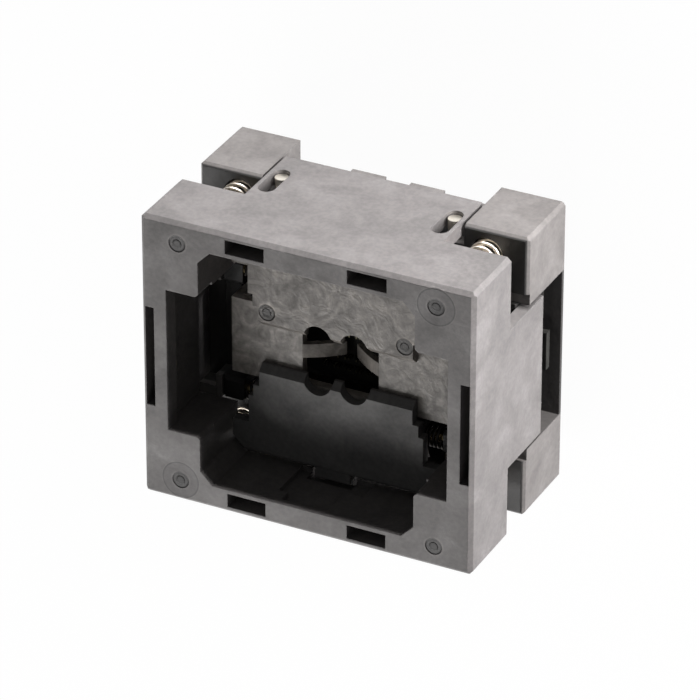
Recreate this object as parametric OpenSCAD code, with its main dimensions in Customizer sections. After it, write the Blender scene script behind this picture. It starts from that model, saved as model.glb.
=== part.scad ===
// Press-down test socket for a small chip package.
// Z = 0 is the face that seats on the circuit board, +Z points out of the board,
// and the cover is pressed along -Z to open the latches and the contacts.

/* [Cover] */
// Size of the cover along X
cover_w = 38; // [37:0.1:42]
// Size of the cover along Y
cover_d = 33.2; // [32.6:0.1:36]
// Height of the cover's front face above the board, at rest
cover_top = 22.4; // [22:0.1:24]
// Depth of the cover's rim
rim_h = 8.55; // [8:0.05:8.8]
// How far the cover travels when it is pressed
stroke = 3.6; // [3:0.1:3.8]
// Window between the long rim bars, along X
window_w = 24.7; // [24.6:0.1:25.2]
// Window between the short rim bars, along Y
window_d = 27.7; // [27.6:0.1:28]
// Slanted corner of the window
window_corner = 1.4; // [0.8:0.1:1.6]
// Side notches of the window, tip to tip along X
notch_w = 32.2; // [31:0.1:32.6]
// Side notches of the window, along Y
notch_d = 16.7; // [16.6:0.1:17.2]
// Thickness of the front plate round the side notches
notch_plate_t = 2.1; // [1.6:0.1:3]
// Width of the hollow behind the side notches, along X
notch_well_w = 33.8; // [33:0.1:34]
// Rounding of the window where a notch meets the rim bar
notch_round = 0.6; // [0.3:0.1:1]
// Bevel on the cover's outer edges
cover_bevel = 0.45; // [0.2:0.05:0.7]

/* [Cover skirts] */
// Width of the skirts that hang from the long bars
skirt_y_w = 22.6; // [22.4:0.1:22.8]
// Length of the skirts that hang from the long bars
skirt_y_len = 9.35; // [9:0.05:9.6]
// Wall of the skirts that hang from the long bars
skirt_y_t = 1.6; // [1.4:0.05:1.7]
// Width of the skirts that hang from the short bars
skirt_x_w = 16.4; // [15:0.1:16.8]
// Length of the skirts that hang from the short bars
skirt_x_len = 8.05; // [7:0.05:8.3]
// Wall of the skirts that hang from the short bars
skirt_x_t = 1.4; // [1:0.05:1.6]

/* [Cover pockets] */
// Long pockets beside the window, along X
bar_pocket_w = 4.45; // [3.5:0.05:4.6]
// Long pockets beside the window, along Y
bar_pocket_d = 1.6; // [1.2:0.05:1.7]
// Middle of each long pocket, out from the middle of the cover
bar_pocket_x = 6.95; // [6.9:0.05:7.4]
// Middle of each long pocket along Y
bar_pocket_y = 15.1; // [15:0.05:15.2]
// Depth of the long pockets
bar_pocket_h = 3.2; // [2:0.1:4]
// Width of the two side pockets
side_pocket_w = 1.0; // [0.7:0.05:1.1]
// Length of the two side pockets
side_pocket_l = 11.7; // [9:0.1:12]
// Middle of each side pocket along X
side_pocket_x = 18.05; // [17.8:0.05:18.1]
// Depth of the side pockets
side_pocket_h = 3; // [2:0.1:4]

/* [Base] */
// Clearance between the corner blocks and the cover's skirts
skirt_gap = 0.35; // [0.2:0.05:0.45]
// Top of the corner blocks
block_top = 9.45; // [9.2:0.05:9.5]
// Inner side of the corner blocks along Y
block_y = 8.6; // [8.5:0.05:8.9]
// Step at the inner side of each block's top
block_step = 0.5; // [0.3:0.05:0.7]
// Length of that step
block_step_l = 1.3; // [0.8:0.1:2]
// Set-back of the blocks' sides behind the cover's
block_inset = 0.1; // [0.05:0.05:0.3]
// Bevel on the blocks' edges
block_bevel = 0.4; // [0.2:0.05:0.6]
// Height of the four seating pads
pad_h = 0.5; // [0.3:0.05:0.6]
// Size of the seating pads along X
pad_w = 6.4; // [5:0.1:6.6]
// Size of the seating pads along Y
pad_d = 4.5; // [3:0.1:5]
// Thickness of the floor
floor_t = 1.2; // [1:0.05:1.4]
// Half width of the thick floor along X
floor_x = 14.6; // [14.4:0.1:15]
// Thickness of the floor's thin side strips
strip_t = 0.45; // [0.35:0.05:0.5]
// Outer face of the long walls
wall_y = 14.1; // [14:0.05:14.3]
// Thickness of the long walls
wall_t = 0.9; // [0.8:0.05:1]
// Gap between the guide ribs and the cover's skirts
rib_gap = 0.25; // [0.1:0.05:0.35]
// Inner side of the guide ribs
rib_x = 1.45; // [1.2:0.05:2]
// Width of the guide ribs
rib_w = 3.9; // [3:0.1:4.2]

/* [Board side] */
// Diameter of the two locating pegs
peg_d = 1.6; // [1.2:0.1:1.8]
// Length of the locating pegs below the seating pads
peg_l = 2.4; // [1.8:0.1:2.6]
// Place of the pegs along X
peg_x = 15.6; // [15:0.1:16]
// Place of the pegs along Y
peg_y = 14; // [13.5:0.1:14.4]
// Tails of the contacts, below the board face
tail_l = 3; // [2.8:0.1:3.6]

/* [Cover springs] */
// Place of the springs along X
spring_x = 14.2; // [14.2:0.05:14.6]
// Place of the springs along Y
spring_y = 13.7; // [13.6:0.05:13.8]
// Outer diameter of the springs
spring_d = 3.3; // [2.8:0.1:3.4]
// Wire of the springs
spring_wire = 0.4; // [0.3:0.02:0.44]
// Turns of each spring
spring_turns = 9; // [7:1:10]
// Clearance round each spring in its pockets
spring_gap = 0.15; // [0.1:0.05:0.2]
// Depth of the spring pockets in the blocks
block_pocket = 2.4; // [1.5:0.1:3]
// Depth of the spring pockets in the cover
cover_pocket = 2.5; // [1.5:0.1:3]

/* [Cross pins] */
// Radius of the two cross pins
cross_r = 0.75; // [0.7:0.01:0.78]
// Place of the cross pins along X
cross_x = 9.95; // [9.8:0.05:10]
// Height of the cross pins
cross_z = 8.1; // [8:0.05:8.2]
// How far the cross pins' ends lie below the skirt's face
cross_recess = 0.45; // [0.2:0.05:0.8]
// Half width of the slots that the cross pins ride in
slot_r = 0.95; // [0.9:0.01:1]
// Play of the cross pins along their slots
slot_play = 0.05; // [0.03:0.01:0.1]
// Running clearance of a pin in its bore
bore_gap = 0.03; // [0.02:0.01:0.06]

/* [Nest] */
// Top of the nest plate
nest_top = 14.35; // [14.2:0.05:14.35]
// Thickness of the nest plate
nest_t = 1; // [0.8:0.05:1.1]
// Length of the nest plate along X
nest_w = 25.4; // [25:0.1:25.6]
// Width of the nest plate's arms along Y
nest_arm_d = 8.9; // [8.7:0.1:9]
// Length of the nest plate's middle along X
nest_mid_w = 12.8; // [12.4:0.1:13]
// Width of the nest plate's middle along Y
nest_mid_d = 11.4; // [11:0.1:11.6]
// Chip package along X
chip_w = 8; // [7.6:0.1:8.2]
// Chip package along Y
chip_d = 6; // [5.8:0.1:6.2]
// Clearance round the package
chip_gap = 0.06; // [0.04:0.01:0.1]
// Width of the slanted lead-in round the package
lead_in = 0.31; // [0.2:0.01:0.35]
// Width of the two curved tongues
tongue_w = 1.6; // [1.2:0.1:1.7]
// Thickness of the tongues
tongue_t = 0.7; // [0.5:0.05:0.8]
// Radius that the tongues are curved to
tongue_r = 13.4; // [12.5:0.1:14.5]
// Slope of a tongue at its root
tongue_root = 25; // [22:1:26]
// Slope of a tongue at its tip
tongue_tip = 45; // [42:1:45]
// Size of the nest plate's square legs
leg_s = 0.9; // [0.7:0.05:1]

/* [Latches] */
// Top of the latches
latch_top = 15.6; // [15.5:0.05:15.7]
// Gap between a closed latch and the nest plate
latch_gap = 0.07; // [0.05:0.01:0.15]
// Edge of the latch tip, out from the middle
tip_y = 3.05; // [2.9:0.05:3.2]
// Reach of the slanted nose past that edge
nose_l = 0.75; // [0.5:0.05:0.8]
// Drop of the slanted nose
nose_h = 0.8; // [0.5:0.05:0.9]
// Outer edge of the latch plate
latch_out = 13.05; // [12.8:0.05:13.1]
// Half width of the tip
tip_x = 8.9; // [8.6:0.05:9]
// Half width of the first step
step_x = 9.6; // [9.4:0.05:9.7]
// Half width of the second step
waist_x = 10.15; // [10:0.05:10.2]
// Half width of the shoulders
shoulder_x = 12; // [11.6:0.05:12]
// Where the first step starts
step_y = 4.75; // [4.6:0.05:4.9]
// Where the second step starts
waist_y = 6.1; // [6:0.05:6.3]
// Where the shoulders start
shoulder_y = 9.4; // [9.2:0.05:9.6]
// Slanted corner of the shoulders
shoulder_corner = 1.6; // [1.5:0.05:2]
// Rounding of the latch's outer edge
latch_round = 0.5; // [0.3:0.05:0.6]
// Place of the two scallops in the tip
scallop_x = 2.1; // [2:0.05:2.3]
// Radius of the scallops
scallop_r = 1.6; // [1.4:0.05:1.7]
// Width of the latch's tail
tail_w = 4.1; // [3.6:0.1:4.2]
// Middle of the tail along X, seen on the lower latch
tail_x = -0.4; // [-0.5:0.05:-0.3]
// Reach of the tail past the latch plate
tail_out = 1; // [0.8:0.05:1]
// Thickness of the tail
tail_t = 1.3; // [1.1:0.05:1.4]
// Drop of the tail's top below the latch's top
tail_drop = 0.1; // [0.05:0.05:0.2]
// How far the latches swing open, in degrees
latch_angle = 28; // [24:1:28]

/* [Latch pivots] */
// Place of the pivot pins along Y
pivot_y = 7.2; // [7.1:0.05:7.2]
// Height of the pivot pins
pivot_z = 12.6; // [12.5:0.05:12.7]
// Radius of the pivot pins
pivot_r = 0.6; // [0.5:0.01:0.62]
// Half length of the pivot pins
pivot_l = 15.3; // [14.8:0.1:15.8]
// Radius of the latch's knuckles
knuckle_r = 1.25; // [1.15:0.05:1.3]
// Inner end of the knuckles
knuckle_x = 6.9; // [6.8:0.05:7.2]
// Length of the knuckles
knuckle_l = 2.3; // [2:0.05:2.35]
// Inner face of the pivot posts
post_x = 11.6; // [11.5:0.05:11.7]
// Width of the pivot posts along X
post_w = 2.6; // [2.2:0.1:2.8]
// Inner side of the pivot posts along Y
post_y = 5.7; // [5.5:0.05:5.8]
// Outer side of the pivot posts along Y
post_out = 8.15; // [8.1:0.05:8.2]
// Height of the posts above the pivot
post_rise = 1.3; // [1.1:0.05:1.4]
// Mean radius of the latch springs' coils
coil_r = 1.15; // [1.1:0.05:1.25]
// Wire of the latch springs
coil_wire = 0.34; // [0.3:0.02:0.36]
// Turns of a latch spring
coil_turns = 4; // [3:1:4]

/* [Latch drive] */
// Pocket in the cover for the tail: low X side
drive_x0 = -3.3; // [-3.4:0.05:-3.1]
// Pocket in the cover for the tail: high X side
drive_x1 = 2; // [1.95:0.05:2.2]
// Depth of the pocket's front part, behind the window's edge
drive_d = 0.55; // [0.4:0.05:0.6]
// Gap between the pocket's end and the cover's front face
drive_front = 1; // [0.8:0.1:1.4]
// Gap between the drive ledge and the resting tail
drive_gap = 0.3; // [0.28:0.01:0.4]
// Depth of the space that the tail swings in
swing_d = 1.15; // [1.1:0.05:1.2]

/* [Contacts] */
// Columns of contacts along X
columns = 6; // [4:2:6]
// Rows of contacts on each side
rows = 2; // [1:1:2]
// Pitch of the contacts
pitch = 1.27; // [1.2:0.01:1.27]
// First row, out from the middle
row_y = 1.4; // [1.3:0.05:1.45]
// Thickness of one tine
tine_t = 0.2; // [0.15:0.01:0.2]
// Gap between the two tines of a contact
tine_gap = 0.2; // [0.15:0.01:0.22]
// Width of the tines along Y
tine_w = 0.3; // [0.25:0.01:0.34]
// Top of the tines
tine_top = 11.6; // [11.4:0.05:11.8]
// Height at which the tines part from the tail
fork_z = 3; // [2.6:0.1:3.4]
// Clearance of a contact in its cell
cell_gap = 0.08; // [0.06:0.01:0.1]
// Width of the contact block along X
block_w = 16.4; // [16:0.1:16.6]
// Width of the contact block along Y
block_d = 10.8; // [10.4:0.1:11]
// Rim of the contact block past its foot
foot_rim = 2; // [1.8:0.1:2.4]

/* [Combs and levers] */
// Thickness of a comb plate
comb_t = 0.6; // [0.5:0.05:0.6]
// Gap under each comb plate
comb_gap = 0.05; // [0.03:0.01:0.1]
// Gap between the two comb plates
comb_space = 0.1; // [0.06:0.01:0.15]
// Half length of a comb plate
comb_x = 7.9; // [7.6:0.05:8]
// Half width of a comb plate
comb_y = 4; // [3.7:0.1:4.2]
// Reach of a comb plate's eye, out from the middle
eye_x = 10.35; // [10.25:0.05:10.4]
// Half width of the eye
eye_y = 2.3; // [2.2:0.05:2.5]
// How far the levers turn, in degrees
lever_angle = 8; // [6:1:8]
// Radius of a lever's hub
hub_r = 1.2; // [1.15:0.01:1.22]
// Half width of the levers
lever_y = 2.2; // [1.8:0.1:2.3]
// Half width of a lever's finger
finger_y = 1.4; // [1.2:0.05:1.5]
// Thickness of a lever's finger
finger_t = 0.7; // [0.6:0.05:0.75]
// Clearance of a finger in its eye
finger_gap = 0.08; // [0.06:0.01:0.1]
// Thickness of a lever's long arm
arm_t = 0.8; // [0.6:0.05:0.9]
// Reach of the long arm, out from the middle
arm_x = 18.3; // [17.9:0.05:18.6]
// Length of the foot at the arm's end
arm_foot = 1.6; // [1.2:0.1:2]

/* [Hidden] */
$fn = 48;

// Thin overlap that lets one solid grow out of another, or a cut pass a face
eps = 0.02;
// A length that is longer than any wall it cuts
far = 60;
// A round spring wire is drawn with this many sides and steps
wire_sides = 6;
wire_steps = 12;

plastic = "#5b5651";
dark_plastic = "#3d3a38";
steel = "#cfc8bd";
gold = "#c9a24b";

rim_z = cover_top - rim_h;
skirt_y_in = cover_d / 2 - skirt_y_t;
skirt_x_in = cover_w / 2 - skirt_x_t;
base_w = cover_w - 2 * block_inset;
base_d = cover_d - 2 * block_inset;
block_x = skirt_y_w / 2 + skirt_gap;
floor_top = pad_h + floor_t;
spring_z0 = block_top - block_pocket;
spring_z1 = rim_z + cover_pocket;
spring_hole_r = spring_d / 2 + spring_gap;
cross_l = cover_d - 2 * cross_recess;
// The slots reach from just under the resting pin to the pressed pin's top
slot_z0 = cross_z - cross_r - slot_play + slot_r;
slot_z1 = cross_z + cross_r + stroke + slot_play - slot_r;
latch_z = nest_top + latch_gap;
tail_top = latch_top - tail_drop;
tail_end = latch_out + tail_out;
drive_z = tail_top + drive_gap;
chip_hole_w = chip_w + 2 * chip_gap;
chip_hole_d = chip_d + 2 * chip_gap;
comb_rear_z = block_z1() + comb_gap;
comb_front_z = comb_rear_z + comb_t + comb_space;
// Each comb travels as far as the lever's finger swings at its height
comb_front_travel = (comb_front_z + comb_t / 2 - cross_z) * sin(lever_angle);
comb_rear_travel = (comb_rear_z + comb_t / 2 - cross_z) * sin(lever_angle);
contact_w = 2 * tine_t + tine_gap;
skirt_x_pressed = rim_z - skirt_x_len - stroke;
eye_wall = 0.65;

// The contact block's top lies just over the levers' hubs
function block_z1() = cross_z + hub_r + 0.15;
function column_x(i) = (i - (columns - 1) / 2) * pitch;
function row_place(j) = row_y + j * pitch;

// ---- helpers ----

module four_corners() {
    for (mx = [0, 1], my = [0, 1]) mirror([mx, 0, 0]) mirror([0, my, 0]) children();
}

module both_x() {
    for (m = [0, 1]) mirror([m, 0, 0]) children();
}

module both_y() {
    for (m = [0, 1]) mirror([0, m, 0]) children();
}

// A box given by its low and high corners
module span(lo, hi) {
    translate(lo) cube(hi - lo);
}

// A bar with a square section turned by 45 degrees, that cuts a bevel of size b
// from an edge along the named axis, at the given point
module bevel_cut(axis, at, b) {
    s = b * sqrt(2);
    size = axis == "x" ? [far, s, s] : axis == "y" ? [s, far, s] : [s, s, far];
    turn = axis == "x" ? [45, 0, 0] : axis == "y" ? [0, 45, 0] : [0, 0, 45];
    translate(at) rotate(turn) cube(size, center = true);
}

// A cylinder along X or Y through the given middle point
module rod_x(at, r, l) {
    translate(at) rotate([0, 90, 0]) cylinder(r = r, h = l, center = true);
}

module rod_y(at, r, l) {
    translate(at) rotate([90, 0, 0]) cylinder(r = r, h = l, center = true);
}

// A round wire of the given radius swept along a list of points. It never runs
// along the given side direction, which the wire's cross-section is squared to.
module wire(points, r, side) {
    n = len(points);
    tangent = [for (i = [0 : n - 1])
        let (a = points[max(i - 1, 0)], b = points[min(i + 1, n - 1)]) (b - a) / norm(b - a)];
    ring = [for (i = [0 : n - 1])
        let (t = tangent[i],
             u = cross(side, t) / norm(cross(side, t)),
             v = cross(t, u))
        for (k = [0 : wire_sides - 1])
            let (a = 360 * k / wire_sides) points[i] + r * (cos(a) * u + sin(a) * v)];
    walls = [for (i = [0 : n - 2], k = [0 : wire_sides - 1])
        let (k2 = (k + 1) % wire_sides)
        [i * wire_sides + k2, i * wire_sides + k, (i + 1) * wire_sides + k, (i + 1) * wire_sides + k2]];
    start = [for (k = [0 : wire_sides - 1]) k];
    end = [for (k = [wire_sides - 1 : -1 : 0]) (n - 1) * wire_sides + k];
    polyhedron(points = ring, faces = concat(walls, [start], [end]));
}

// ---- cover ----

module window_outline() {
    w = window_w / 2;
    d = window_d / 2;
    c = window_corner;
    polygon([[-w, -d + c], [-w + c, -d], [w - c, -d], [w, -d + c],
             [w, d - c], [w - c, d], [-w + c, d], [-w, d - c]]);
}

module notch_outline() {
    square([notch_w, notch_d], center = true);
    four_corners() translate([window_w / 2 - eps, notch_d / 2 - eps]) difference() {
        square(notch_round);
        translate([notch_round, notch_round]) circle(notch_round);
    }
}

// The pocket that a latch's tail swings in, with its drive ledge, on the -Y bar
module drive_pocket() {
    y = -window_d / 2;
    span([drive_x0, y - drive_d, drive_z - eps], [drive_x1, y + 1, cover_top - drive_front]);
    span([drive_x0, y - swing_d, rim_z - 1], [drive_x1, y + 1, drive_z]);
    span([drive_x0 - 1.1, y - drive_d, rim_z + 0.6], [drive_x0 + eps, y + 1, cover_top - 2.45]);
    span([drive_x1 - eps, y - drive_d, rim_z + 0.6], [drive_x1 + 2.1, y + 1, cover_top - 5.3]);
}

module cover_bevels() {
    w = cover_w / 2;
    d = cover_d / 2;
    for (s = [-1, 1]) {
        bevel_cut("x", [0, s * d, cover_top], cover_bevel);
        bevel_cut("y", [s * w, 0, cover_top], cover_bevel);
        for (t = [-1, 1]) bevel_cut("z", [s * w, t * d, rim_z], cover_bevel);
    }
}

module cover() {
    w = cover_w / 2;
    d = cover_d / 2;
    color(plastic) difference() {
        union() {
            span([-w, -d, rim_z], [w, d, cover_top]);
            both_y() span([-skirt_y_w / 2, skirt_y_in, rim_z - skirt_y_len], [skirt_y_w / 2, d, rim_z + eps]);
            both_x() span([skirt_x_in, -skirt_x_w / 2, rim_z - skirt_x_len], [w, skirt_x_w / 2, rim_z + eps]);
        }
        translate([0, 0, rim_z - 1]) linear_extrude(rim_h + 2) window_outline();
        translate([0, 0, cover_top - notch_plate_t - 1]) linear_extrude(notch_plate_t + 2) notch_outline();
        span([-notch_well_w / 2, -notch_d / 2, rim_z - 1],
             [notch_well_w / 2, notch_d / 2, cover_top - notch_plate_t]);
        four_corners() translate([bar_pocket_x, bar_pocket_y, cover_top - bar_pocket_h])
            translate([-bar_pocket_w / 2, -bar_pocket_d / 2, 0]) cube([bar_pocket_w, bar_pocket_d, far]);
        both_x() translate([side_pocket_x - side_pocket_w / 2, -side_pocket_l / 2, cover_top - side_pocket_h])
            cube([side_pocket_w, side_pocket_l, far]);
        four_corners() translate([spring_x, spring_y, rim_z - 1])
            cylinder(r = spring_hole_r, h = cover_pocket + 1);
        for (s = [-1, 1], t = [-1, 1]) {
            y = t * (d - skirt_y_t / 2);
            rod_y([s * cross_x, y, slot_z0], slot_r, skirt_y_t + 1);
            rod_y([s * cross_x, y, slot_z1], slot_r, skirt_y_t + 1);
            translate([s * cross_x, y, (slot_z0 + slot_z1) / 2])
                cube([2 * slot_r, skirt_y_t + 1, slot_z1 - slot_z0], center = true);
        }
        drive_pocket();
        rotate([0, 0, 180]) drive_pocket();
        cover_bevels();
    }
}

// ---- base ----

module corner_block() {
    difference() {
        union() {
            span([block_x, block_y, pad_h], [base_w / 2, base_d / 2, block_top]);
            span([base_w / 2 - pad_w, base_d / 2 - pad_d, 0], [base_w / 2 - block_bevel, base_d / 2 - block_bevel, block_top / 2]);
        }
        span([block_x - 1, block_y - 1, block_top - block_step], [far, block_y + block_step_l, far]);
        translate([spring_x, spring_y, spring_z0]) cylinder(r = spring_hole_r, h = far);
        bevel_cut("x", [0, base_d / 2, block_top], block_bevel);
        bevel_cut("y", [base_w / 2, 0, block_top], block_bevel);
        bevel_cut("z", [base_w / 2, base_d / 2, 0], block_bevel);
    }
}

module pivot_post() {
    difference() {
        span([post_x, post_y, floor_top - eps], [post_x + post_w, post_out, pivot_z + post_rise]);
        rod_x([post_x + post_w / 2, pivot_y, pivot_z], pivot_r + bore_gap, post_w + 1);
        bevel_cut("x", [0, post_y, pivot_z + post_rise], block_bevel);
        bevel_cut("y", [post_x + post_w, 0, pivot_z + post_rise], block_bevel);
    }
}

module long_wall() {
    difference() {
        union() {
            span([-block_x - eps, wall_y - wall_t, pad_h], [block_x + eps, wall_y, block_top]);
            both_x() span([rib_x, wall_y - eps, pad_h + 0.3],
                          [rib_x + rib_w, skirt_y_in - rib_gap, block_top - 0.25]);
        }
        both_x() rod_y([cross_x, wall_y, cross_z], cross_r + bore_gap, 4);
    }
}

module base() {
    foot_w = block_w - 2 * foot_rim;
    foot_d = block_d - 2 * foot_rim;
    color(plastic) {
        difference() {
            union() {
                span([-floor_x, -wall_y, pad_h], [floor_x, wall_y, floor_top]);
                span([-base_w / 2, -block_y - eps, pad_h], [base_w / 2, block_y + eps, pad_h + strip_t]);
                four_corners() corner_block();
                four_corners() pivot_post();
                both_y() long_wall();
            }
            cube([foot_w + 2 * cell_gap, foot_d + 2 * cell_gap, far], center = true);
        }
        for (s = [-1, 1]) translate([s * peg_x, -s * peg_y, -peg_l]) {
            cylinder(r = peg_d / 2, h = peg_l + pad_h);
        }
    }
}

// ---- nest plate ----

module tongue() {
    // The arc starts at the plate's opening, sloping down, and gets steeper
    cx = chip_hole_w / 2 + lead_in + tongue_r * sin(tongue_root);
    cz = nest_top - tongue_r * cos(tongue_root);
    reach = 2 * tongue_r;
    translate([0, tongue_w / 2, 0]) rotate([90, 0, 0]) linear_extrude(tongue_w) intersection() {
        translate([cx, cz]) difference() {
            circle(tongue_r, $fn = 180);
            circle(tongue_r - tongue_t, $fn = 180);
        }
        translate([cx, cz]) polygon([[0, 0],
            [-reach * sin(tongue_tip), reach * cos(tongue_tip)],
            [-reach * sin(tongue_root - 3), reach * cos(tongue_root - 3)]]);
    }
}

module nest_plate() {
    z0 = nest_top - nest_t;
    leg_x = nest_w / 2 - leg_s / 2;
    leg_y = nest_arm_d / 2 - leg_s / 2;
    color(dark_plastic) {
        difference() {
            union() {
                span([-nest_w / 2, -nest_arm_d / 2, z0], [nest_w / 2, nest_arm_d / 2, nest_top]);
                span([-nest_mid_w / 2, -nest_mid_d / 2, z0], [nest_mid_w / 2, nest_mid_d / 2, nest_top]);
                four_corners() translate([leg_x, leg_y, (floor_top + z0 + eps) / 2])
                    cube([leg_s, leg_s, z0 + eps - floor_top], center = true);
            }
            cube([chip_hole_w, chip_hole_d, far], center = true);
            for (s = [-1, 1]) {
                bevel_cut_short("y", [s * chip_hole_w / 2, 0, nest_top], lead_in, chip_hole_d);
                bevel_cut_short("x", [0, s * chip_hole_d / 2, nest_top], lead_in, chip_hole_w);
            }
        }
        both_x() tongue();
    }
}

// The same bevel bar as bevel_cut, cut to a length
module bevel_cut_short(axis, at, b, l) {
    intersection() {
        bevel_cut(axis, at, b);
        translate(at) cube(axis == "x" ? [l + 2 * b, far, far] : [far, l + 2 * b, far], center = true);
    }
}

// ---- latches ----

// Plan of the lower latch, with its tip towards +Y
module latch_plan() {
    c = shoulder_corner;
    half = [[0, nose_l - tip_y], [tip_x, nose_l - tip_y], [tip_x, -step_y], [step_x, -step_y],
            [step_x, -waist_y], [waist_x, -waist_y], [waist_x, -shoulder_y], [shoulder_x, -shoulder_y],
            [shoulder_x, c - latch_out], [shoulder_x - c, -latch_out], [0, -latch_out]];
    difference() {
        union() {
            polygon(half);
            mirror([1, 0]) polygon(half);
        }
        for (s = [-1, 1]) translate([s * scallop_x, scallop_dip() - tip_y]) circle(scallop_r);
    }
}

// The scallops' centres lie this far inside the tip edge
function scallop_dip() = 0.55;

// Side view of the lower latch: Y, Z
module latch_side() {
    r = latch_round;
    polygon([[-tip_y, latch_top], [nose_l - tip_y, latch_top - nose_h], [nose_l - tip_y, latch_z],
             [-latch_out, latch_z], [-latch_out, latch_top - r], [-latch_out + r, latch_top]]);
    translate([-latch_out + r, latch_top - r]) circle(r);
}

module latch() {
    difference() {
        union() {
            intersection() {
                translate([0, 0, latch_z - 1]) linear_extrude(latch_top - latch_z + 2) latch_plan();
                rotate([90, 0, 90]) translate([0, 0, -far / 2]) linear_extrude(far) latch_side();
            }
            span([tail_x - tail_w / 2, -tail_end, tail_top - tail_t],
                 [tail_x + tail_w / 2, -latch_out + 1, tail_top]);
            both_x() {
                rod_x([knuckle_x + knuckle_l / 2, -pivot_y, pivot_z], knuckle_r, knuckle_l);
                span([knuckle_x, -pivot_y - knuckle_r, pivot_z],
                     [knuckle_x + knuckle_l, -pivot_y + knuckle_r, latch_z + eps]);
            }
        }
        rod_x([0, -pivot_y, pivot_z], pivot_r + bore_gap, far);
    }
}

module latch_lower() {
    color(plastic) latch();
}

module latch_upper() {
    color(plastic) rotate([0, 0, 180]) latch();
}

// ---- pins ----

module pivot_pin(s) {
    color(gold) rod_x([0, s * pivot_y, pivot_z], pivot_r, 2 * pivot_l);
}

module pivot_pin_upper() { pivot_pin(1); }
module pivot_pin_lower() { pivot_pin(-1); }

module cross_pin(s) {
    color(steel) rod_y([s * cross_x, 0, cross_z], cross_r, cross_l);
}

module cross_pin_left() { cross_pin(-1); }
module cross_pin_right() { cross_pin(1); }

// ---- springs ----

// A compression spring between the two pocket floors, with its end turns lying flat
module cover_spring(sx, sy) {
    r = (spring_d - spring_wire) / 2;
    z0 = spring_z0 + spring_wire / 2;
    z1 = spring_z1 - spring_wire / 2;
    n = spring_turns * wire_steps;
    pitch_z = (z1 - z0 - 2 * spring_wire) / (spring_turns - 2);
    function rise(t) = t < 1 ? spring_wire * t
        : t > spring_turns - 1 ? z1 - z0 - spring_wire * (spring_turns - t)
        : spring_wire + pitch_z * (t - 1);
    color(steel) wire([for (i = [0 : n])
        let (t = i / wire_steps)
        [sx * spring_x + r * cos(360 * t), sy * spring_y + r * sin(360 * t), z0 + rise(t)]],
        spring_wire / 2, [0, 0, 1]);
}

module cover_spring_upper_left() { cover_spring(-1, 1); }
module cover_spring_upper_right() { cover_spring(1, 1); }
module cover_spring_lower_left() { cover_spring(-1, -1); }
module cover_spring_lower_right() { cover_spring(1, -1); }

// A torsion spring on the pivot pin, between the knuckle and the post.
// One end runs to the post and the other reaches out under the latch's shoulder.
module latch_spring() {
    x0 = knuckle_x + knuckle_l + 0.1 + coil_wire / 2;
    x1 = post_x - 0.1 - coil_wire / 2;
    turn = (x1 - x0 - coil_wire) / coil_turns;
    n = coil_turns * wire_steps;
    centre = [0, pivot_y, pivot_z];
    coil = [for (i = [0 : n])
        let (a = 90 + 360 * i / wire_steps)
        centre + [x0 + turn * i / wire_steps, coil_r * cos(a), coil_r * sin(a)]];
    arm = [centre + [x0, 2.6, 0.25], centre + [x0, 1.3, 0.82]];
    foot = [centre + [x1, -0.1, coil_r], centre + [x1 + coil_wire / 2, -0.3, coil_r - 0.05]];
    color(steel) wire(concat(arm, coil, foot), coil_wire / 2, [1, 0, 0]);
}

module latch_spring_upper_right() { latch_spring(); }
module latch_spring_upper_left() { mirror([1, 0, 0]) latch_spring(); }
module latch_spring_lower_right() { mirror([0, 1, 0]) latch_spring(); }
module latch_spring_lower_left() { mirror([1, 0, 0]) mirror([0, 1, 0]) latch_spring(); }

// ---- contacts ----

module each_contact() {
    for (s = [-1, 1], i = [0 : columns - 1], j = [0 : rows - 1])
        translate([column_x(i), s * row_place(j), 0]) children();
}

module contact_block() {
    cell = [contact_w + 2 * cell_gap, tine_w + 2 * cell_gap, far];
    foot_w = block_w - 2 * foot_rim;
    foot_d = block_d - 2 * foot_rim;
    color(dark_plastic) difference() {
        union() {
            span([-block_w / 2, -block_d / 2, floor_top], [block_w / 2, block_d / 2, block_z1()]);
            span([-foot_w / 2, -foot_d / 2, floor_top - floor_t / 3],
                 [foot_w / 2, foot_d / 2, floor_top + eps]);
        }
        each_contact() cube(cell, center = true);
    }
}

module contact() {
    tail_w2 = tine_gap / 2 + tine_t;
    both_x() span([tine_gap / 2, -tine_w / 2, fork_z - tine_w], [tail_w2, tine_w / 2, tine_top]);
    span([-tail_w2, -tine_w / 2, fork_z - tine_w], [tail_w2, tine_w / 2, fork_z]);
    span([-tine_t, -tine_w / 2, -tail_l], [tine_t, tine_w / 2, fork_z - tine_w + eps]);
}

module contacts() {
    color(gold) each_contact() contact();
}

module tail_plate() {
    foot_w = block_w - 2 * foot_rim;
    foot_d = block_d - 2 * foot_rim;
    hole = [2 * tine_t + 2 * cell_gap, tine_w + 2 * cell_gap, far];
    color(plastic) difference() {
        span([-foot_w / 2, -foot_d / 2, pad_h], [foot_w / 2, foot_d / 2, floor_top - floor_t / 3]);
        each_contact() cube(hole, center = true);
    }
}

// ---- combs and levers ----

// A comb plate with a window for each contact. It moves towards +X by its travel.
module comb(z, travel) {
    room = [contact_w + travel + 2 * cell_gap, tine_w + 2 * cell_gap, far];
    difference() {
        union() {
            span([-comb_x, -comb_y, z], [comb_x, comb_y, z + comb_t]);
            span([0, -eye_y, z], [eye_x, eye_y, z + comb_t]);
        }
        each_contact() translate([-travel / 2, 0, 0]) cube(room, center = true);
        span([eye_x - eye_wall - finger_t - 2 * finger_gap, -finger_y - finger_gap, z - 1],
             [eye_x - eye_wall, finger_y + finger_gap, z + 2]);
    }
}

module comb_front() {
    color(dark_plastic) comb(comb_front_z, comb_front_travel);
}

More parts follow.
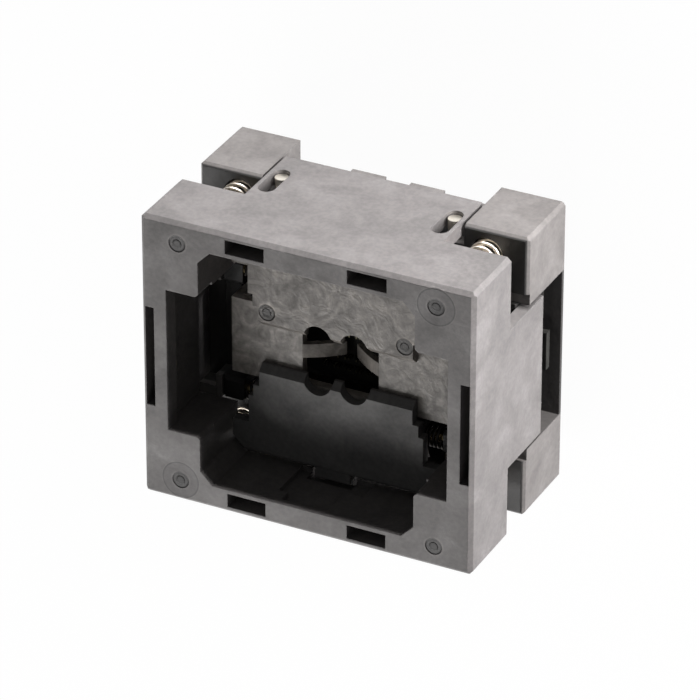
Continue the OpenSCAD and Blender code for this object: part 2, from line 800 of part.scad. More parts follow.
module comb_rear() {
    color(dark_plastic) mirror([1, 0, 0]) comb(comb_rear_z, comb_rear_travel);
}

// A bell-crank on the right cross pin. Its finger stands in a comb's eye up to the
// given height, and its long arm reaches out under the cover's side skirt.
module lever(finger_top) {
    finger_x1 = eye_x - eye_wall - finger_gap;
    // The pressed skirt just meets the arm when the lever has turned all the way
    drop = (arm_x - cross_x) * sin(lever_angle);
    arm_top = skirt_x_pressed + drop - 0.15;
    difference() {
        union() {
            rod_y([cross_x, 0, cross_z], hub_r, 2 * lever_y);
            span([finger_x1 - finger_t, -finger_y, cross_z], [finger_x1, finger_y, finger_top]);
            rotate([90, 0, 0]) translate([0, 0, -lever_y]) linear_extrude(2 * lever_y) polygon([
                [cross_x + hub_r * 0.3, cross_z + hub_r * 0.6],
                [cross_x + hub_r, cross_z],
                [arm_x - arm_foot, arm_top],
                [arm_x, arm_top],
                [arm_x, arm_top - arm_t],
                [arm_x - arm_foot - arm_t / 2, arm_top - arm_t],
                [cross_x, cross_z - hub_r + 0.1]]);
        }
        rod_y([cross_x, 0, cross_z], cross_r + bore_gap + 0.02, 3 * lever_y);
    }
}

module lever_right() {
    color(dark_plastic) lever(comb_front_z + comb_t - 0.05);
}

module lever_left() {
    color(dark_plastic) mirror([1, 0, 0]) lever(comb_rear_z + comb_t - 0.05);
}

base();
cover();
nest_plate();
latch_upper();
latch_lower();
pivot_pin_upper();
pivot_pin_lower();
cross_pin_left();
cross_pin_right();
cover_spring_upper_left();
cover_spring_upper_right();
cover_spring_lower_left();
cover_spring_lower_right();
latch_spring_upper_left();
latch_spring_upper_right();
latch_spring_lower_left();
latch_spring_lower_right();
contact_block();
contacts();
tail_plate();
comb_front();
comb_rear();
lever_left();
lever_right();
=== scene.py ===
"""Test socket for a small chip package: a sprung cover over a base, two latches and the contacts.

Sizes are in metres in the frame of the part: Z = 0 is the face that seats on the
circuit board and +Z points out of the board. Most solids of the part are shown as they
are, with materials. The springs and the nest plate are drawn anew, and the end walls
outside the pivot posts are added.
"""
import bmesh
import bpy
import numpy as np
from mathutils import Matrix, Vector
from mathutils.geometry import tessellate_polygon


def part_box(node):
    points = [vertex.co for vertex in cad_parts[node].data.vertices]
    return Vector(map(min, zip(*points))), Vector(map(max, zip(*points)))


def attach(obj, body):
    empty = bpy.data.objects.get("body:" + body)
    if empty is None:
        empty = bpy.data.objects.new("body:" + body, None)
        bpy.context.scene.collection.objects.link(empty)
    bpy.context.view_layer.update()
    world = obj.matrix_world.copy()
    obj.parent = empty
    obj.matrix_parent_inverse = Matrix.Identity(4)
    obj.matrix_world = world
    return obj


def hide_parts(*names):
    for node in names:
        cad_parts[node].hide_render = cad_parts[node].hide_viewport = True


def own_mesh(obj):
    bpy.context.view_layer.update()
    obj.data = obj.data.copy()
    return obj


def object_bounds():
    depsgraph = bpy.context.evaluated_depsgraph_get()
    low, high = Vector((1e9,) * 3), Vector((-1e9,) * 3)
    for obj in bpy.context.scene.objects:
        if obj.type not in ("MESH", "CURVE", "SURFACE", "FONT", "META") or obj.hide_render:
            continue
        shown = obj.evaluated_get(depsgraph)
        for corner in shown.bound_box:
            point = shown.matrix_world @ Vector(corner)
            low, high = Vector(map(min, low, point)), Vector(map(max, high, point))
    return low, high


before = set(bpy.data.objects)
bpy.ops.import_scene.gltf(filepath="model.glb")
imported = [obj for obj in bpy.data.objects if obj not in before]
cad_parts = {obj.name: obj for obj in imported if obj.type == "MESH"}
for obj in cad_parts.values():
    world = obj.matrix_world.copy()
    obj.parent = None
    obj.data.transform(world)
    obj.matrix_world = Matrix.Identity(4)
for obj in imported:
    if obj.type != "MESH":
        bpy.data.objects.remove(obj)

CAD_BOX = [list(map(float, corner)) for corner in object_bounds()]
MM = 0.001
SOFT_EDGE = 0.12 * MM


# ---- materials ----

class Nodes:
    """Short names for building one material's node tree."""

    def __init__(self, name):
        self.material = bpy.data.materials.new(name)
        self.material.use_nodes = True
        self.tree = self.material.node_tree
        self.shader = self.tree.nodes["Principled BSDF"]
        self.where = self.add("ShaderNodeTexCoord").outputs["Object"]

    def add(self, kind, **settings):
        node = self.tree.nodes.new(kind)
        for key, value in settings.items():
            setattr(node, key, value)
        return node

    def link(self, a, b):
        self.tree.links.new(a, b)

    def noise(self, size, detail=3.0, roughness=0.55, distortion=0.0, where=None):
        """A noise whose features are about size metres across."""
        node = self.add("ShaderNodeTexNoise")
        node.inputs["Scale"].default_value = 1.0 / size
        node.inputs["Detail"].default_value = detail
        node.inputs["Roughness"].default_value = roughness
        node.inputs["Distortion"].default_value = distortion
        self.link(where or self.where, node.inputs["Vector"])
        return node.outputs["Fac"]

    def ramp(self, value, stops):
        """A colour ramp through (place, colour) stops."""
        node = self.add("ShaderNodeValToRGB")
        ramp = node.color_ramp
        while len(ramp.elements) < len(stops):
            ramp.elements.new(0.5)
        for element, (place, colour) in zip(ramp.elements, stops):
            element.position = place
            element.color = (*colour, 1.0) if len(colour) == 3 else colour
        self.link(value, node.inputs["Fac"])
        return node.outputs["Color"]

    def span(self, value, low, high, to_low, to_high):
        node = self.add("ShaderNodeMapRange")
        for key, number in (("From Min", low), ("From Max", high), ("To Min", to_low), ("To Max", to_high)):
            node.inputs[key].default_value = number
        self.link(value, node.inputs["Value"])
        return node.outputs["Result"]

    def mix(self, kind, factor, a, b):
        node = self.add("ShaderNodeMix", data_type="RGBA", blend_type=kind)
        for key, value in ((0, factor), (6, a), (7, b)):
            if isinstance(value, (int, float)):
                node.inputs[key].default_value = value
            elif isinstance(value, tuple):
                node.inputs[key].default_value = (*value, 1.0)
            else:
                self.link(value, node.inputs[key])
        return node.outputs[2]

    def bump(self, height, distance, strength=1.0, after=None):
        node = self.add("ShaderNodeBump")
        node.inputs["Distance"].default_value = distance
        node.inputs["Strength"].default_value = strength
        self.link(height, node.inputs["Height"])
        if after is not None:
            self.link(after, node.inputs["Normal"])
        return node.outputs["Normal"]


# Colour ramps of the ejector marks: painted shade in the grooves and middles, and a painted highlight, with
# values over 1, on the rims.
MARK_PAINTED_SHADE_AND_HIGHLIGHT = [(0.0, (0.20, 0.20, 0.20)), (0.10, (0.34, 0.34, 0.35)), (0.17, (0.12, 0.12, 0.12)),
              (0.25, (0.10, 0.10, 0.10)), (0.34, (0.52, 0.52, 0.53)), (0.42, (0.16, 0.16, 0.16)),
              (0.49, (0.30, 0.30, 0.30)), (0.54, (1.45, 1.43, 1.42)), (0.66, (1, 1, 1))]
MARK_HEIGHT = [(0.0, (0.7, 0.7, 0.7)), (0.22, (0.7, 0.7, 0.7)), (0.27, (0, 0, 0)),
               (0.44, (0, 0, 0)), (0.52, (1, 1, 1)), (1.0, (1, 1, 1))]
DISC_PAINTED_SHADE_AND_HIGHLIGHT = [(0.0, (0.86, 0.86, 0.87)), (0.30, (0.42, 0.42, 0.43)), (0.62, (0.50, 0.50, 0.50)),
              (0.85, (1.35, 1.34, 1.33)), (1.0, (1, 1, 1))]
MARK_DEPTH = 0.10 * MM


def ejector_marks(n, parts, colour, dents):
    """Darken the colour in round marks on both sides of both axes.

    dents is (x, y, radius, disc). A mark is a ring-shaped groove round a low middle:
    its height is a bump, and its colour ramp paints shade into the groove and middle
    and a highlight on the rim. With a disc radius, the two marks whose X and Y have the
    same sign lie in a shallow disc, which is only painted shade and a painted highlight
    round its rim, with no height. The ramps run outwards from a mark's middle to twice
    its radius. Returns the colour and the marks' height.
    """
    mark_x, mark_y, radius, disc = dents
    flat = n.add("ShaderNodeCombineXYZ")
    n.link(parts.outputs["X"], flat.inputs["X"])
    n.link(parts.outputs["Y"], flat.inputs["Y"])
    away = n.add("ShaderNodeVectorMath", operation="DISTANCE")
    away.inputs[1].default_value = (mark_x, mark_y, 0)
    n.link(flat.outputs[0], away.inputs[0])
    near = n.span(away.outputs["Value"], 0, radius * 2, 0, 1)
    # Painted shade and painted highlight of each mark, multiplied into the colour.
    colour = n.mix("MULTIPLY", 1.0, colour, n.ramp(near, MARK_PAINTED_SHADE_AND_HIGHLIGHT))
    if disc:
        signed = n.add("ShaderNodeSeparateXYZ")
        n.link(n.where, signed.inputs[0])
        corner = n.add("ShaderNodeMath", operation="MULTIPLY")
        n.link(signed.outputs["X"], corner.inputs[0])
        n.link(signed.outputs["Y"], corner.inputs[1])
        here = n.span(corner.outputs[0], 0, 1e-6, 0, 1)
        rim = n.span(away.outputs["Value"], disc - 0.2 * MM, disc + 0.1 * MM, 0, 1)
        # Painted shade and painted highlight of the shallow disc round two marks; the disc has no height.
        colour = n.mix("MULTIPLY", here, colour, n.ramp(rim, DISC_PAINTED_SHADE_AND_HIGHLIGHT))
    return colour, n.ramp(near, MARK_HEIGHT)


def moulded_plastic(name, dark, mid, pale, roughness=0.5, cloud=4.5 * MM, swirl=0.6, gloss=0.5,
                    dents=None, painted_shade_inside=None, painted_shade_above=None, painted_shade_below=None):
    """Glass-filled moulded plastic: cloudy flow marks, a fine grain and softened edges.

    The colour runs from dark through mid to pale with a cloudy noise, bent by the given
    swirl, and a second finer noise breaks it up. Roughness follows the cloud.
    dents places ejector marks, with painted shade and highlights in their colour.
    A given (x, y) marks a middle region: shade is painted into the plastic nearer to
    the middle than both. Shade is also painted on faces higher or lower than a given height.
    """
    n = Nodes(name)
    big = n.noise(cloud, 3.0, 0.5, swirl)
    fine = n.noise(cloud / 9, 3.0, 0.6)
    colour = n.ramp(big, [(0.30, dark), (0.50, mid), (0.72, pale)])
    specks = n.ramp(fine, [(0.38, (0.88, 0.88, 0.88)), (0.62, (1.08, 1.08, 1.07))])
    colour = n.mix("MULTIPLY", 1.0, colour, specks)
    if dents or painted_shade_inside or painted_shade_above or painted_shade_below:
        folded = n.add("ShaderNodeVectorMath", operation="ABSOLUTE")
        n.link(n.where, folded.inputs[0])
        parts = n.add("ShaderNodeSeparateXYZ")
        n.link(folded.outputs[0], parts.inputs[0])
    marks = None
    if dents:
        colour, marks = ejector_marks(n, parts, colour, dents)
    if painted_shade_inside:
        # Painted shade: darker towards the base's middle, where its inner faces lie in shade.
        near_x = n.span(parts.outputs["X"], painted_shade_inside[0] - 0.2 * MM, painted_shade_inside[0], 1, 0)
        near_y = n.span(parts.outputs["Y"], painted_shade_inside[1] - 0.2 * MM, painted_shade_inside[1], 1, 0)
        both = n.add("ShaderNodeMath", operation="MULTIPLY")
        n.link(near_x, both.inputs[0])
        n.link(near_y, both.inputs[1])
        colour = n.mix("MULTIPLY", both.outputs[0], colour, (0.22, 0.22, 0.22))
    if painted_shade_above:
        # Painted shade on faces higher than the given height: the tops of the base's blocks, which lie in
        # the cover's shade.
        high = n.span(parts.outputs["Z"], painted_shade_above - 0.1 * MM, painted_shade_above, 0, 1)
        colour = n.mix("MULTIPLY", high, colour, (0.10, 0.10, 0.10))
    if painted_shade_below:
        # Painted shade on faces lower than the given height: the end wall's low part.
        deep = n.span(parts.outputs["Z"], painted_shade_below - 0.2 * MM, painted_shade_below, 1, 0)
        colour = n.mix("MULTIPLY", deep, colour, (0.16, 0.16, 0.16))
    n.link(colour, n.shader.inputs["Base Color"])
    n.link(n.span(big, 0.3, 0.7, roughness + 0.10, roughness - 0.10), n.shader.inputs["Roughness"])
    rounded = n.add("ShaderNodeBevel", samples=4)
    rounded.inputs["Radius"].default_value = SOFT_EDGE
    flow = n.noise(cloud / 1.6, 2.0, 0.5, swirl)
    grain = n.bump(flow, 0.08 * MM, 0.7, rounded.outputs["Normal"])
    grain = n.bump(n.noise(0.22 * MM, 2.0, 0.6), 0.014 * MM, 0.8, grain)
    if marks is not None:
        grain = n.bump(marks, MARK_DEPTH, 0.9, grain)
    n.link(grain, n.shader.inputs["Normal"])
    n.shader.inputs["Specular IOR Level"].default_value = gloss
    return n.material


def bright_metal(name, colour, roughness, tarnish):
    """Drawn or plated metal: an even colour with faint cloudy tarnish and fine marks."""
    n = Nodes(name)
    cloud = n.noise(1.2 * MM, 3.0, 0.6)
    n.link(n.ramp(cloud, [(0.35, tarnish), (0.62, colour)]), n.shader.inputs["Base Color"])
    n.link(n.span(cloud, 0.3, 0.7, roughness + 0.08, roughness - 0.05), n.shader.inputs["Roughness"])
    n.shader.inputs["Metallic"].default_value = 1.0
    n.link(n.bump(n.noise(0.12 * MM, 2.0), 0.004 * MM, 0.5), n.shader.inputs["Normal"])
    return n.material


PLASTICS = {
    "shell plastic": dict(
        dark=(0.090, 0.085, 0.084), mid=(0.108, 0.101, 0.100), pale=(0.132, 0.125, 0.124),
        dents=(14.7 * MM, 14.1 * MM, 0.95 * MM, 2.15 * MM)),
    # The base plastic has shade painted into its middle and onto the tops of its blocks.
    "base plastic": dict(
        dark=(0.086, 0.080, 0.078), mid=(0.104, 0.097, 0.094), pale=(0.130, 0.122, 0.119),
        painted_shade_inside=(19.2 * MM, 8.72 * MM), painted_shade_above=9.35 * MM),
    "latch plastic": dict(
        dark=(0.088, 0.080, 0.072), mid=(0.144, 0.132, 0.121), pale=(0.235, 0.216, 0.195),
        roughness=0.44, cloud=3.4 * MM, swirl=2.6, dents=(7.95 * MM, 4.275 * MM, 0.95 * MM, 0)),
    # The wall plastic has shade painted on it lower than 13.2 mm.
    "wall plastic": dict(
        dark=(0.080, 0.076, 0.073), mid=(0.100, 0.095, 0.090), pale=(0.135, 0.127, 0.120),
        roughness=0.45, painted_shade_below=13.2 * MM),
    # A darker copy of the latch plastic for the lower latch: its darker colour is painted shade.
    "latch plastic in painted shade": dict(
        dark=(0.076, 0.075, 0.075), mid=(0.092, 0.090, 0.089), pale=(0.112, 0.109, 0.107),
        roughness=0.62),
    "inner plastic": dict(
        dark=(0.112, 0.102, 0.092), mid=(0.180, 0.166, 0.151), pale=(0.275, 0.253, 0.229),
        roughness=0.42, cloud=3.4 * MM, swirl=2.6),
    "dark plastic": dict(
        dark=(0.014, 0.014, 0.013), mid=(0.020, 0.020, 0.018), pale=(0.028, 0.028, 0.026),
        roughness=0.6, gloss=0.12),
}
METALS = {
    "plated steel": dict(colour=(0.86, 0.80, 0.71), roughness=0.30, tarnish=(0.62, 0.55, 0.46)),
    "oiled steel": dict(colour=(0.060, 0.056, 0.052), roughness=0.42, tarnish=(0.030, 0.028, 0.026)),
    "turned steel": dict(colour=(0.93, 0.89, 0.80), roughness=0.34, tarnish=(0.78, 0.73, 0.64)),
    "gold plating": dict(colour=(0.92, 0.74, 0.42), roughness=0.25, tarnish=(0.66, 0.50, 0.26)),
    # The contacts are coloured near black: painted shade for the deep hole they sit in.
    "contacts in painted shade": dict(colour=(0.085, 0.08, 0.055), roughness=0.48, tarnish=(0.04, 0.04, 0.03)),
}
FINISHES = {name: moulded_plastic(name, **values) for name, values in PLASTICS.items()}
FINISHES.update({name: bright_metal(name, **values) for name, values in METALS.items()})

NODE_FINISH = {
    "base": "base plastic", "cover": "shell plastic", "nest_plate": "inner plastic",
    # The lower latch takes a darker copy of the latch plastic, as painted shade.
    "latch_upper": "latch plastic", "latch_lower": "latch plastic in painted shade",
    "pivot_pin_upper": "gold plating", "pivot_pin_lower": "gold plating",
    "cross_pin_left": "turned steel", "cross_pin_right": "turned steel",
    "contact_block": "dark plastic", "contacts": "contacts in painted shade", "tail_plate": "dark plastic",
    "comb_front": "dark plastic", "comb_rear": "dark plastic",
    "lever_left": "dark plastic", "lever_right": "dark plastic",
}


def paint(obj, finish):
    obj.data.materials.clear()
    obj.data.materials.append(FINISHES[finish])


for node_name, finish in NODE_FINISH.items():
    node_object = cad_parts[node_name]
    for material_slot in node_object.material_slots:
        material_slot.material = FINISHES[finish]


# ---- new pieces ----

def link_piece(name, mesh):
    obj = bpy.data.objects.new(name, mesh)
    bpy.context.scene.collection.objects.link(obj)
    return obj


def closed_piece(name, points, faces, join_flat=False):
    """A closed mesh with its faces turned outwards. Flat neighbours may be joined."""
    mesh = bpy.data.meshes.new(name)
    mesh.from_pydata(points, [], faces)
    shape = bmesh.new()
    shape.from_mesh(mesh)
    bmesh.ops.recalc_face_normals(shape, faces=shape.faces)
    if join_flat:
        bmesh.ops.dissolve_limit(shape, angle_limit=0.001, verts=shape.verts, edges=shape.edges)
    shape.to_mesh(mesh)
    shape.free()
    return link_piece(name, mesh)


def tube(name, path, radius, sides=14):
    """A round wire: circles of the given radius carried along a path of points.

    Each circle lies square to the path. Its first direction is the one before it,
    with the part along the path taken off, so that the circles don't twist.
    """
    path = np.asarray(path, float)
    along = np.gradient(path, axis=0)
    along /= np.linalg.norm(along, axis=1)[:, None]
    first = np.cross(along[0], [0.31, 0.52, 0.79])
    turned = np.empty_like(path)
    for i, direction in enumerate(along):
        first = first - direction * (first @ direction)
        first = first / np.linalg.norm(first)
        turned[i] = first
    across = np.cross(along, turned)
    angle = np.linspace(0, 2 * np.pi, sides, endpoint=False)
    ring = (path[:, None, :] + radius * (np.cos(angle)[None, :, None] * turned[:, None, :]
            + np.sin(angle)[None, :, None] * across[:, None, :]))
    count = len(path)
    tip = radius * 0.3
    points = np.vstack([ring.reshape(-1, 3), path[0] - along[0] * tip, path[-1] + along[-1] * tip])
    i, k = np.meshgrid(np.arange(count - 1), np.arange(sides), indexing="ij")
    k2 = (k + 1) % sides
    walls = np.stack([i * sides + k, i * sides + k2, (i + 1) * sides + k2, (i + 1) * sides + k], -1)
    side = np.arange(sides)
    after = (side + 1) % sides
    start = np.stack([after, side, np.full(sides, count * sides)], -1)
    last = (count - 1) * sides
    end = np.stack([last + side, last + after, np.full(sides, count * sides + 1)], -1)
    mesh = bpy.data.meshes.new(name)
    faces = walls.reshape(-1, 4).tolist() + start.tolist() + end.tolist()
    mesh.from_pydata(points.tolist(), [], faces)
    mesh.polygons.foreach_set("use_smooth", np.ones(len(mesh.polygons), bool))
    return link_piece(name, mesh)


SPRING_WIRE = 0.40 * MM
SPRING_TURNS = 10
STEPS_PER_TURN = 40


def cover_spring(node):
    """A compression coil between its two pockets, with a flat turn at each end.

    The height rises by one wire in the first and last turn and evenly between them.
    """
    low, high = (np.array(corner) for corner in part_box(node))
    centre = (low + high) / 2
    radius = (high[0] - low[0] - SPRING_WIRE) / 2
    t = np.linspace(0, SPRING_TURNS, SPRING_TURNS * STEPS_PER_TURN + 1)
    length = high[2] - low[2] - SPRING_WIRE
    rise = np.interp(t, [0, 1, SPRING_TURNS - 1, SPRING_TURNS],
                     [0, SPRING_WIRE, length - SPRING_WIRE, length])
    turn = 2 * np.pi * t
    path = np.stack([centre[0] + radius * np.cos(turn), centre[1] + radius * np.sin(turn),
                     low[2] + SPRING_WIRE / 2 + rise], -1)
    obj = tube(node + "_wire", path, SPRING_WIRE / 2)
    paint(obj, "plated steel")
    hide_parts(node)
    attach(obj, "frame")
    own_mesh(obj)


for name in ("upper_left", "upper_right", "lower_left", "lower_right"):
    cover_spring("cover_spring_" + name)


COIL_WIRE = 0.34 * MM
COIL_TURNS = 4
# The ends of a latch spring beyond its coil: (step along X, Y, Z) from the pin's middle.
# The foot's Z is taken from the top of the coil.
COIL_ARM = np.array([(0, 2.6, 0.25), (0, 1.9, 0.56), (0, 1.3, 0.82), (0, 0.6, 1.03)]) * MM
COIL_FOOT = np.array([(0.03, -0.1, 0), (0.12, -0.25, -0.03)]) * MM


def latch_spring(node, side_x, side_y):
    """A torsion coil round the pivot pin, with its turns side by side along X.

    One end reaches out under the latch's shoulder and the other bends to the post.
    """
    low, high = (np.array(corner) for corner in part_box(node))
    pin_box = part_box("pivot_pin_" + node.split("_")[2])
    pin_low, pin_high = (np.array(corner) for corner in pin_box)
    pin = (pin_low + pin_high) / 2
    inner, outer = (low[0], high[0]) if side_x > 0 else (-high[0], -low[0])
    inner += COIL_WIRE / 2
    outer -= COIL_WIRE
    radius = (high[2] - low[2] - COIL_WIRE) / 2
    t = np.linspace(0, COIL_TURNS, COIL_TURNS * STEPS_PER_TURN + 1)
    coil = np.stack([inner + (outer - inner) * t / COIL_TURNS, -radius * np.sin(2 * np.pi * t),
                     radius * np.cos(2 * np.pi * t)], -1)
    arm = COIL_ARM + [inner, 0, 0]
    foot = COIL_FOOT + [outer, 0, radius]
    path = np.vstack([arm, coil, foot]) * [side_x, side_y, 1] + [0, pin[1], pin[2]]
    obj = tube(node + "_wire", path, COIL_WIRE / 2, 12)
    paint(obj, "oiled steel")
    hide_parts(node)
    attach(obj, "frame")


for name, side_x, side_y in (("upper_left", -1, 1), ("upper_right", 1, 1),
                             ("lower_left", -1, -1), ("lower_right", 1, -1)):
    latch_spring("latch_spring_" + name, side_x, side_y)


def solids(name, parts):
    """One object of closed prisms. Each part is (loops, low, high, axis).

    The first loop is the outline and the others are holes, as points in the plane square
    to the axis: (x, y) for axis 2 and (y, z) for axis 0. The prism runs from low to high.
    """
    points, faces = [], []
    for loops, low, high, axis in parts:
        start = len(points)
        flat = [Vector((u, v, 0)) for loop in loops for u, v in loop]
        for level in (low, high):
            points += [(level, q.x, q.y) if axis == 0 else (q.x, q.y, level) for q in flat]
        count = len(flat)
        for triangle in tessellate_polygon([[Vector((u, v, 0)) for u, v in loop] for loop in loops]):
            faces.append([start + i for i in triangle])
            faces.append([start + count + i for i in reversed(triangle)])
        first = start
        for loop in loops:
            size = len(loop)
            for i in range(size):
                k = (i + 1) % size
                faces.append([first + i, first + k, first + k + count, first + i + count])
            first += size
    return closed_piece(name, points, faces, join_flat=True)


def rectangle(u0, v0, u1, v1):
    return [(u0, v0), (u1, v0), (u1, v1), (u0, v1)]


PIN_Y = (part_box("pivot_pin_upper")[0][1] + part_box("pivot_pin_upper")[1][1]) / 2
WALL_Y = PIN_Y + 1.135 * MM
WALL_TOP = 11.5 * MM
WALL_FOOT = 0.5 * MM
EAR_TOP = 13.9 * MM
EAR_FRONT = PIN_Y - 1.5 * MM
DOOR_Y = 2.6 * MM
DOOR_TOP = 7.3 * MM
INNER_WALL_Y = 5.8 * MM
INNER_WALL_FOOT = 1.6 * MM
LEDGE_Y = 8.55 * MM
LEDGE_TOP = 9.4 * MM


def end_wall(name, side):
    """The low wall between two ears at the base's end, with a door for a lever's arm.

    It stands outside the solid posts, in three layers that overlap a little along X: the
    wall between the posts, the ears' inner halves and their outer halves. A ledge on
    its outside closes the slit beside the cover's hollow, under the pressed cover.
    """
    def between_ears(ear_from):
        return [(-WALL_Y, WALL_FOOT), (-DOOR_Y, WALL_FOOT), (-DOOR_Y, DOOR_TOP), (DOOR_Y, DOOR_TOP),
                (DOOR_Y, WALL_FOOT), (WALL_Y, WALL_FOOT), (WALL_Y, EAR_TOP), (ear_from, EAR_TOP),
                (ear_from, WALL_TOP), (-ear_from, WALL_TOP), (-ear_from, EAR_TOP), (-WALL_Y, EAR_TOP)]

    between_posts = [(-INNER_WALL_Y, INNER_WALL_FOOT), (-DOOR_Y, INNER_WALL_FOOT), (-DOOR_Y, DOOR_TOP),
                     (DOOR_Y, DOOR_TOP), (DOOR_Y, INNER_WALL_FOOT), (INNER_WALL_Y, INNER_WALL_FOOT),
                     (INNER_WALL_Y, WALL_TOP), (-INNER_WALL_Y, WALL_TOP)]
    ledge = rectangle(-LEDGE_Y, DOOR_TOP + 0.1 * MM, LEDGE_Y, LEDGE_TOP)
    layers = [(between_posts, 13.0 * MM, 14.25 * MM), (between_ears(EAR_FRONT), 14.2 * MM, 14.9 * MM),
              (between_ears(PIN_Y), 14.85 * MM, 16.885 * MM), (ledge, 16.80 * MM, 17.5 * MM)]
    parts = [([loop], *sorted((side * low, side * high)), 0) for loop, low, high in layers]
    obj = solids(name, parts)
    paint(obj, "wall plastic")
    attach(obj, "frame")


end_wall("end_wall_left", -1)
end_wall("end_wall_right", 1)


HOLE_X, HOLE_Y = 4.40 * MM, 3.75 * MM
PLATE_TOP, PLATE_T = 14.35 * MM, 1.0 * MM
ARM_Y = 4.45 * MM
MID_X, MID_Y = 6.4 * MM, 5.7 * MM
LEG = 0.9 * MM
TONGUE_R, TONGUE_T, TONGUE_W = 13.4 * MM, 0.7 * MM, 1.6 * MM
TONGUE_SLOPES = (25, 45)


def dress_nest(obj):
    paint(obj, "inner plastic")
    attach(obj, "frame")


def nest_plate():
    """The plate that a package rests in: a cross with a square hole, on four legs."""
    low, high = (np.array(corner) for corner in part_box("nest_plate"))
    wide, under = high[0], PLATE_TOP - PLATE_T
    cross = [(-wide, -ARM_Y), (-MID_X, -ARM_Y), (-MID_X, -MID_Y), (MID_X, -MID_Y), (MID_X, -ARM_Y),
             (wide, -ARM_Y), (wide, ARM_Y), (MID_X, ARM_Y), (MID_X, MID_Y), (-MID_X, MID_Y),
             (-MID_X, ARM_Y), (-wide, ARM_Y)]
    parts = [([cross, rectangle(-HOLE_X, -HOLE_Y, HOLE_X, HOLE_Y)], under, PLATE_TOP, 2)]
    for x in (-wide, wide - LEG):
        for y in (-ARM_Y, ARM_Y - LEG):
            parts.append(([rectangle(x, y, x + LEG, y + LEG)], low[2], under, 2))
    obj = solids("nest_plate_body", parts)
    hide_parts("nest_plate")
    dress_nest(obj)


def tongue(name, side):
    """A curved tongue that runs from the nest plate's top down into its hole.

    Its top is an arc of radius TONGUE_R about (x0, z0), at (x0 - TONGUE_R sin a,
    z0 + TONGUE_R cos a), where the slope a goes from the first to the second of
    TONGUE_SLOPES in degrees.
    """
    slope = np.radians(np.linspace(*TONGUE_SLOPES, 24))
    centre_x = HOLE_X + TONGUE_R * np.sin(slope[0])
    centre_z = PLATE_TOP - TONGUE_R * np.cos(slope[0])
    top, underside = (np.stack([centre_x - r * np.sin(slope), centre_z + r * np.cos(slope)], -1)
                      for r in (TONGUE_R, TONGUE_R - TONGUE_T))
    rim = np.vstack([top, underside[::-1]])
    count = len(rim)
    points = [(side * x, y, z) for y in (-TONGUE_W / 2, TONGUE_W / 2) for x, z in rim]
    faces = [[i, (i + 1) % count, (i + 1) % count + count, i + count] for i in range(count)]
    for i in range(count // 2 - 1):
        strip = [i, i + 1, count - 2 - i, count - 1 - i]
        faces += [strip, [q + count for q in reversed(strip)]]
    dress_nest(closed_piece(name, points, faces))


nest_plate()
tongue("tongue_left", -1)
tongue("tongue_right", 1)

# ---- floor, light and camera ----

def staged(name, points):
    mesh = bpy.data.meshes.new(name)
    mesh.from_pydata(points, [], [list(range(len(points)))])
    obj = bpy.data.objects.new(name, mesh)
    bpy.context.scene.collection.objects.link(obj)
    return obj


def white_floor(height):
    """A white floor that keeps a share of the shadow: seen by the camera or in metal it is
    mostly plain white, and for other rays it is a pale surface."""
    size = 3.0
    corners = [(-size, -size), (size, -size), (size, size), (-size, size)]
    obj = staged("floor", [(x, y, height) for x, y in corners])
    n = Nodes("floor white")
    n.shader.inputs["Base Color"].default_value = (0.86, 0.86, 0.87, 1)
    n.shader.inputs["Roughness"].default_value = 1.0
    n.shader.inputs["Specular IOR Level"].default_value = 0.0
    glow = n.add("ShaderNodeEmission")
    glow.inputs["Strength"].default_value = 1.0
    path = n.add("ShaderNodeLightPath")
    seen = n.add("ShaderNodeMath", operation="ADD", use_clamp=True)
    n.link(path.outputs["Is Camera Ray"], seen.inputs[0])
    n.link(path.outputs["Is Glossy Ray"], seen.inputs[1])
    share = n.add("ShaderNodeMath", operation="MULTIPLY")
    share.inputs[1].default_value = 0.96
    n.link(seen.outputs[0], share.inputs[0])
    blend = n.add("ShaderNodeMixShader")
    n.link(share.outputs[0], blend.inputs[0])
    n.link(n.shader.outputs[0], blend.inputs[1])
    n.link(glow.outputs[0], blend.inputs[2])
    n.link(blend.outputs[0], n.tree.nodes["Material Output"].inputs["Surface"])
    obj.data.materials.append(n.material)


white_floor(CAD_BOX[0][2] - 0.02 * MM)


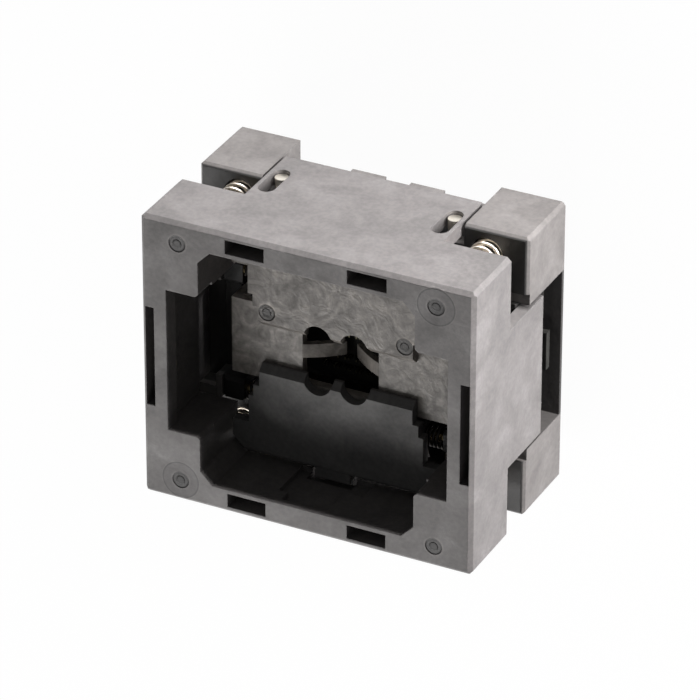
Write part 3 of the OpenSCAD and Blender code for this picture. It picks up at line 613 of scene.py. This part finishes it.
def studio_world(level):
    """An even studio sky: plain white where it is seen, and of the given level as light."""
    world = bpy.data.worlds.new("studio")
    bpy.context.scene.world = world
    world.use_nodes = True
    tree = world.node_tree
    back = tree.nodes["Background"]
    back.inputs["Color"].default_value = (1, 1, 1, 1)
    back.inputs["Strength"].default_value = level
    seen = tree.nodes.new("ShaderNodeBackground")
    seen.inputs["Color"].default_value = (1, 1, 1, 1)
    seen.inputs["Strength"].default_value = 1.0
    path = tree.nodes.new("ShaderNodeLightPath")
    total = tree.nodes.new("ShaderNodeMath")
    total.operation = "ADD"
    total.use_clamp = True
    tree.links.new(path.outputs["Is Camera Ray"], total.inputs[0])
    tree.links.new(path.outputs["Is Transmission Ray"], total.inputs[1])
    blend = tree.nodes.new("ShaderNodeMixShader")
    tree.links.new(total.outputs[0], blend.inputs[0])
    tree.links.new(back.outputs[0], blend.inputs[1])
    tree.links.new(seen.outputs[0], blend.inputs[2])
    tree.links.new(blend.outputs[0], tree.nodes["World Output"].inputs["Surface"])


studio_world(0.13)


def lamp(name, place, aim, size, power, colour):
    data = bpy.data.lights.new(name, "AREA")
    data.shape = "RECTANGLE"
    data.size, data.size_y = size
    data.energy = power
    data.color = colour
    obj = bpy.data.objects.new(name, data)
    bpy.context.scene.collection.objects.link(obj)
    obj.location = place
    obj.rotation_euler = (Vector(aim) - Vector(place)).to_track_quat("-Z", "Y").to_euler()


# The top and right lamps are low and flat, so little of their light gets into the window.
LAMPS = [
    ("top light", (0.02, 0.50, 0.016), (0, 0, 0.012), (0.50, 0.034), 5.2, (1.0, 0.985, 0.985)),
    ("right light", (0.15, 0.070, 0.012), (0.015, 0, 0.010), (0.12, 0.026), 0.76, (1.0, 0.985, 0.99)),
    ("table light", (-0.15, -0.37, 0.26), (0, 0, 0.011), (0.60, 0.30), 3.15, (1.0, 0.985, 0.975)),
]
for values in LAMPS:
    lamp(*values)

scene = bpy.context.scene
scene.view_settings.view_transform = "Standard"

# The camera looks at the cover's front, long side and short side, with the socket's
# +Y side up in the frame, as it stands when it rests on that narrow side.
forward = Vector((-0.38592, -0.49823, -0.77642)).normalized()
upward = Vector((-0.22331, 0.86704, -0.44539))
upward = (upward - forward * upward.dot(forward)).normalized()
right = forward.cross(upward)
camera_data = bpy.data.cameras.new("camera")
camera_data.sensor_width = 36
camera_data.lens = 282.75
camera_data.clip_start = 0.01
camera = bpy.data.objects.new("camera", camera_data)
scene.collection.objects.link(camera)
turn = Matrix((right, upward, -forward)).transposed()
camera.matrix_world = Matrix.Translation((0.220405, 0.284678, 0.45561)) @ turn.to_4x4()
scene.camera = camera
